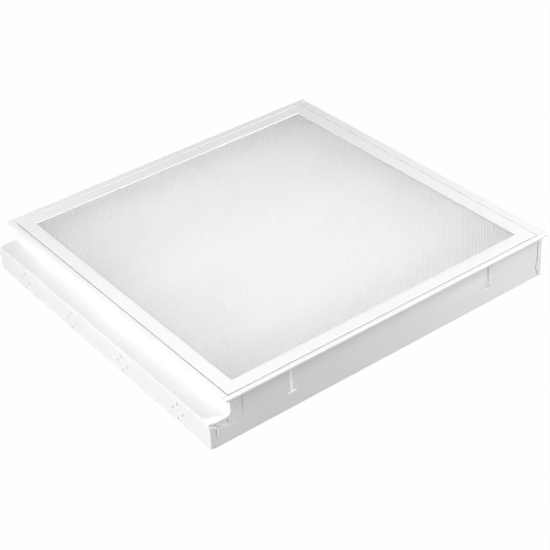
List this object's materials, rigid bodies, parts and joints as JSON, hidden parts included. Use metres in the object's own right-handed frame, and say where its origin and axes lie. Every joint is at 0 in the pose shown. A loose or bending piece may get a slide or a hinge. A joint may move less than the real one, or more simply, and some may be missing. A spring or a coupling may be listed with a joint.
{
  "type": "recessed fluorescent ceiling light",
  "caption": "Recessed square fluorescent ceiling light: folded steel housing with a side wing, hinged flush door with prismatic lens, turning lamps in rotary holders, ballast under a cover.",
  "frame": {"origin": "on the flat back of the housing, under the centre of the square ceiling trim", "axes": "+Z points out of the back to the room side (lens up), +X runs from the wing to the plain side wall along the hinge line, +Y from the hinge end to the latch end"},
  "size_m": [0.6278, 0.6032, 0.0794],
  "materials": {
    "housing_paint": "satin",
    "door_paint": "satin",
    "lens_acrylic": "patterned",
    "zinc_steel": "satin",
    "holder_plastic": "semi-gloss",
    "rotor_plastic": "semi-gloss",
    "lamp_glass": "phosphor coated",
    "lamp_base_metal": "satin",
    "ballast_paint": "semi-gloss",
    "wire_insulation": "matte",
    "connector_plastic": "matte",
    "ground_green": "gloss"
  },
  "bodies": {
    "housing": {"housing_pan": "housing_paint", "end_plate_front": "housing_paint", "end_plate_rear": "housing_paint", "access_plate": "housing_paint", "access_screw": "zinc_steel", "lampholder_1_wing": "holder_plastic", "lampholder_2_wing": "holder_plastic", "lampholder_3_wing": "holder_plastic", "lampholder_4_wing": "holder_plastic", "lampholder_1_plain": "holder_plastic", "lampholder_2_plain": "holder_plastic", "lampholder_3_plain": "holder_plastic", "lampholder_4_plain": "holder_plastic", "ballast_case": "ballast_paint", "ballast_nuts": "zinc_steel", "ballast_cover": "housing_paint", "cover_screws": "zinc_steel", "wiring_harness": "wire_insulation", "wire_connectors": "connector_plastic", "ground_screw": "ground_green"},
    "door": {"door_rail_left": "door_paint", "door_rail_right": "door_paint", "door_rail_front": "door_paint", "door_rail_rear": "door_paint", "corner_gussets": "zinc_steel", "prismatic_lens": "lens_acrylic", "lens_clips": "zinc_steel", "t_hinge_left": "zinc_steel", "t_hinge_right": "zinc_steel", "latch_guide_left": "zinc_steel", "latch_guide_right": "zinc_steel"},
    "latch_left": {"latch_bolt_left": "zinc_steel"},
    "latch_right": {"latch_bolt_right": "zinc_steel"},
    "lamp_1": {"lamp_1_tube": "lamp_glass", "lamp_1_bases": "lamp_base_metal", "lamp_1_rotors": "rotor_plastic"},
    "lamp_2": {"lamp_2_tube": "lamp_glass", "lamp_2_bases": "lamp_base_metal", "lamp_2_rotors": "rotor_plastic"},
    "lamp_3": {"lamp_3_tube": "lamp_glass", "lamp_3_bases": "lamp_base_metal", "lamp_3_rotors": "rotor_plastic"},
    "lamp_4": {"lamp_4_tube": "lamp_glass", "lamp_4_bases": "lamp_base_metal", "lamp_4_rotors": "rotor_plastic"}
  },
  "joints": [
    {"name": "door_hinge", "type": "hinge", "parent": "housing", "child": "door", "pos_m": [0, -0.29702, 0.0768], "axis": [1, 0, 0], "range_deg": [0, 90]},
    {"name": "latch_left_slide", "type": "slide", "parent": "door", "child": "latch_left", "axis": [0, 1, 0], "range_m": [0, 0.003]},
    {"name": "latch_right_slide", "type": "slide", "parent": "door", "child": "latch_right", "axis": [0, 1, 0], "range_m": [0, 0.003]},
    {"name": "lamp_1_turn", "type": "hinge", "parent": "housing", "child": "lamp_1", "pos_m": [0, -0.2117, 0.0185], "axis": [1, 0, 0], "range_deg": [0, 90]},
    {"name": "lamp_2_turn", "type": "hinge", "parent": "housing", "child": "lamp_2", "pos_m": [0, -0.0687, 0.0185], "axis": [1, 0, 0], "range_deg": [0, 90]},
    {"name": "lamp_3_turn", "type": "hinge", "parent": "housing", "child": "lamp_3", "pos_m": [0, 0.0743, 0.0185], "axis": [1, 0, 0], "range_deg": [0, 90]},
    {"name": "lamp_4_turn", "type": "hinge", "parent": "housing", "child": "lamp_4", "pos_m": [0, 0.2173, 0.0185], "axis": [1, 0, 0], "range_deg": [0, 90]}
  ]
}
